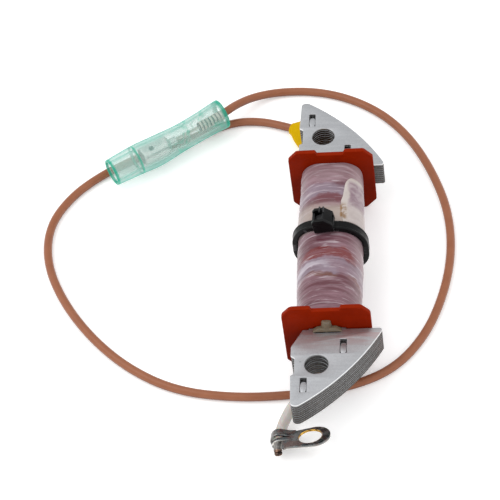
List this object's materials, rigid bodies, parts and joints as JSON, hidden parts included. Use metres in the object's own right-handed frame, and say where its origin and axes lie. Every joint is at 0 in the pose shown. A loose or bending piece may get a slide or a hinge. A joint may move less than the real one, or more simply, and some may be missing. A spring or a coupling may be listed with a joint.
{
  "type": "ignition coil",
  "caption": "Ignition coil with a laminated lever-shaped steel core, a wound and taped bobbin, a long output lead with a sleeved bullet socket and a short ground lead with a ring terminal.",
  "frame": {"origin": "midway between the two mounting holes, on the underside of the steel core", "axes": "+Y along the coil, from one mounting hole to the other; +Z through the core's stack, from its underside to its top; +X to the flywheel side, where the curved pole faces are"},
  "size_m": [0.1026, 0.1191, 0.022],
  "materials": {
    "core_steel": "satin, bare sheared edges",
    "bobbin_red": "semi-gloss moulded",
    "insulating_paper": "matt",
    "enamelled_copper": "enamelled turns",
    "impregnated_tape": "clear varnished tape over dark turns, pale streaks",
    "tape_end_pale": "varnished tape, stained",
    "tie_nylon": "semi-gloss",
    "wedge_cream": "matt",
    "vinyl_green": "soft, see-through",
    "tinned_brass": "bright tinned",
    "grip_metal": "dull, ribbed",
    "bare_copper": "tinned strands",
    "lead_brown": "soft insulation, slight sheen",
    "sleeve_yellow": "flexible tubing",
    "terminal_dark": "dark tinned, satin",
    "wire_end_dark": "dull solder-coated",
    "ground_sleeving": "milky, translucent"
  },
  "bodies": {
    "root": {"lamination_01": "core_steel", "lamination_02": "core_steel", "lamination_03": "core_steel", "lamination_04": "core_steel", "lamination_05": "core_steel", "lamination_06": "core_steel", "lamination_07": "core_steel", "lamination_08": "core_steel", "lamination_09": "core_steel", "lamination_10": "core_steel", "bobbin_upper_half": "bobbin_red", "bobbin_lower_half": "bobbin_red", "paper_layer": "insulating_paper", "copper_winding": "enamelled_copper", "outer_tape": "impregnated_tape", "tape_end": "tape_end_pale", "cable_tie": "tie_nylon", "core_wedge": "wedge_cream", "connector_sleeve": "vinyl_green", "bullet_receptacle": "tinned_brass", "insulation_grip": "grip_metal", "lead_strands": "bare_copper", "output_lead": "lead_brown", "yellow_sleeve": "sleeve_yellow", "ring_terminal": "terminal_dark", "ground_wire_end": "wire_end_dark", "ground_lead": "ground_sleeving"}
  },
  "joints": []
}
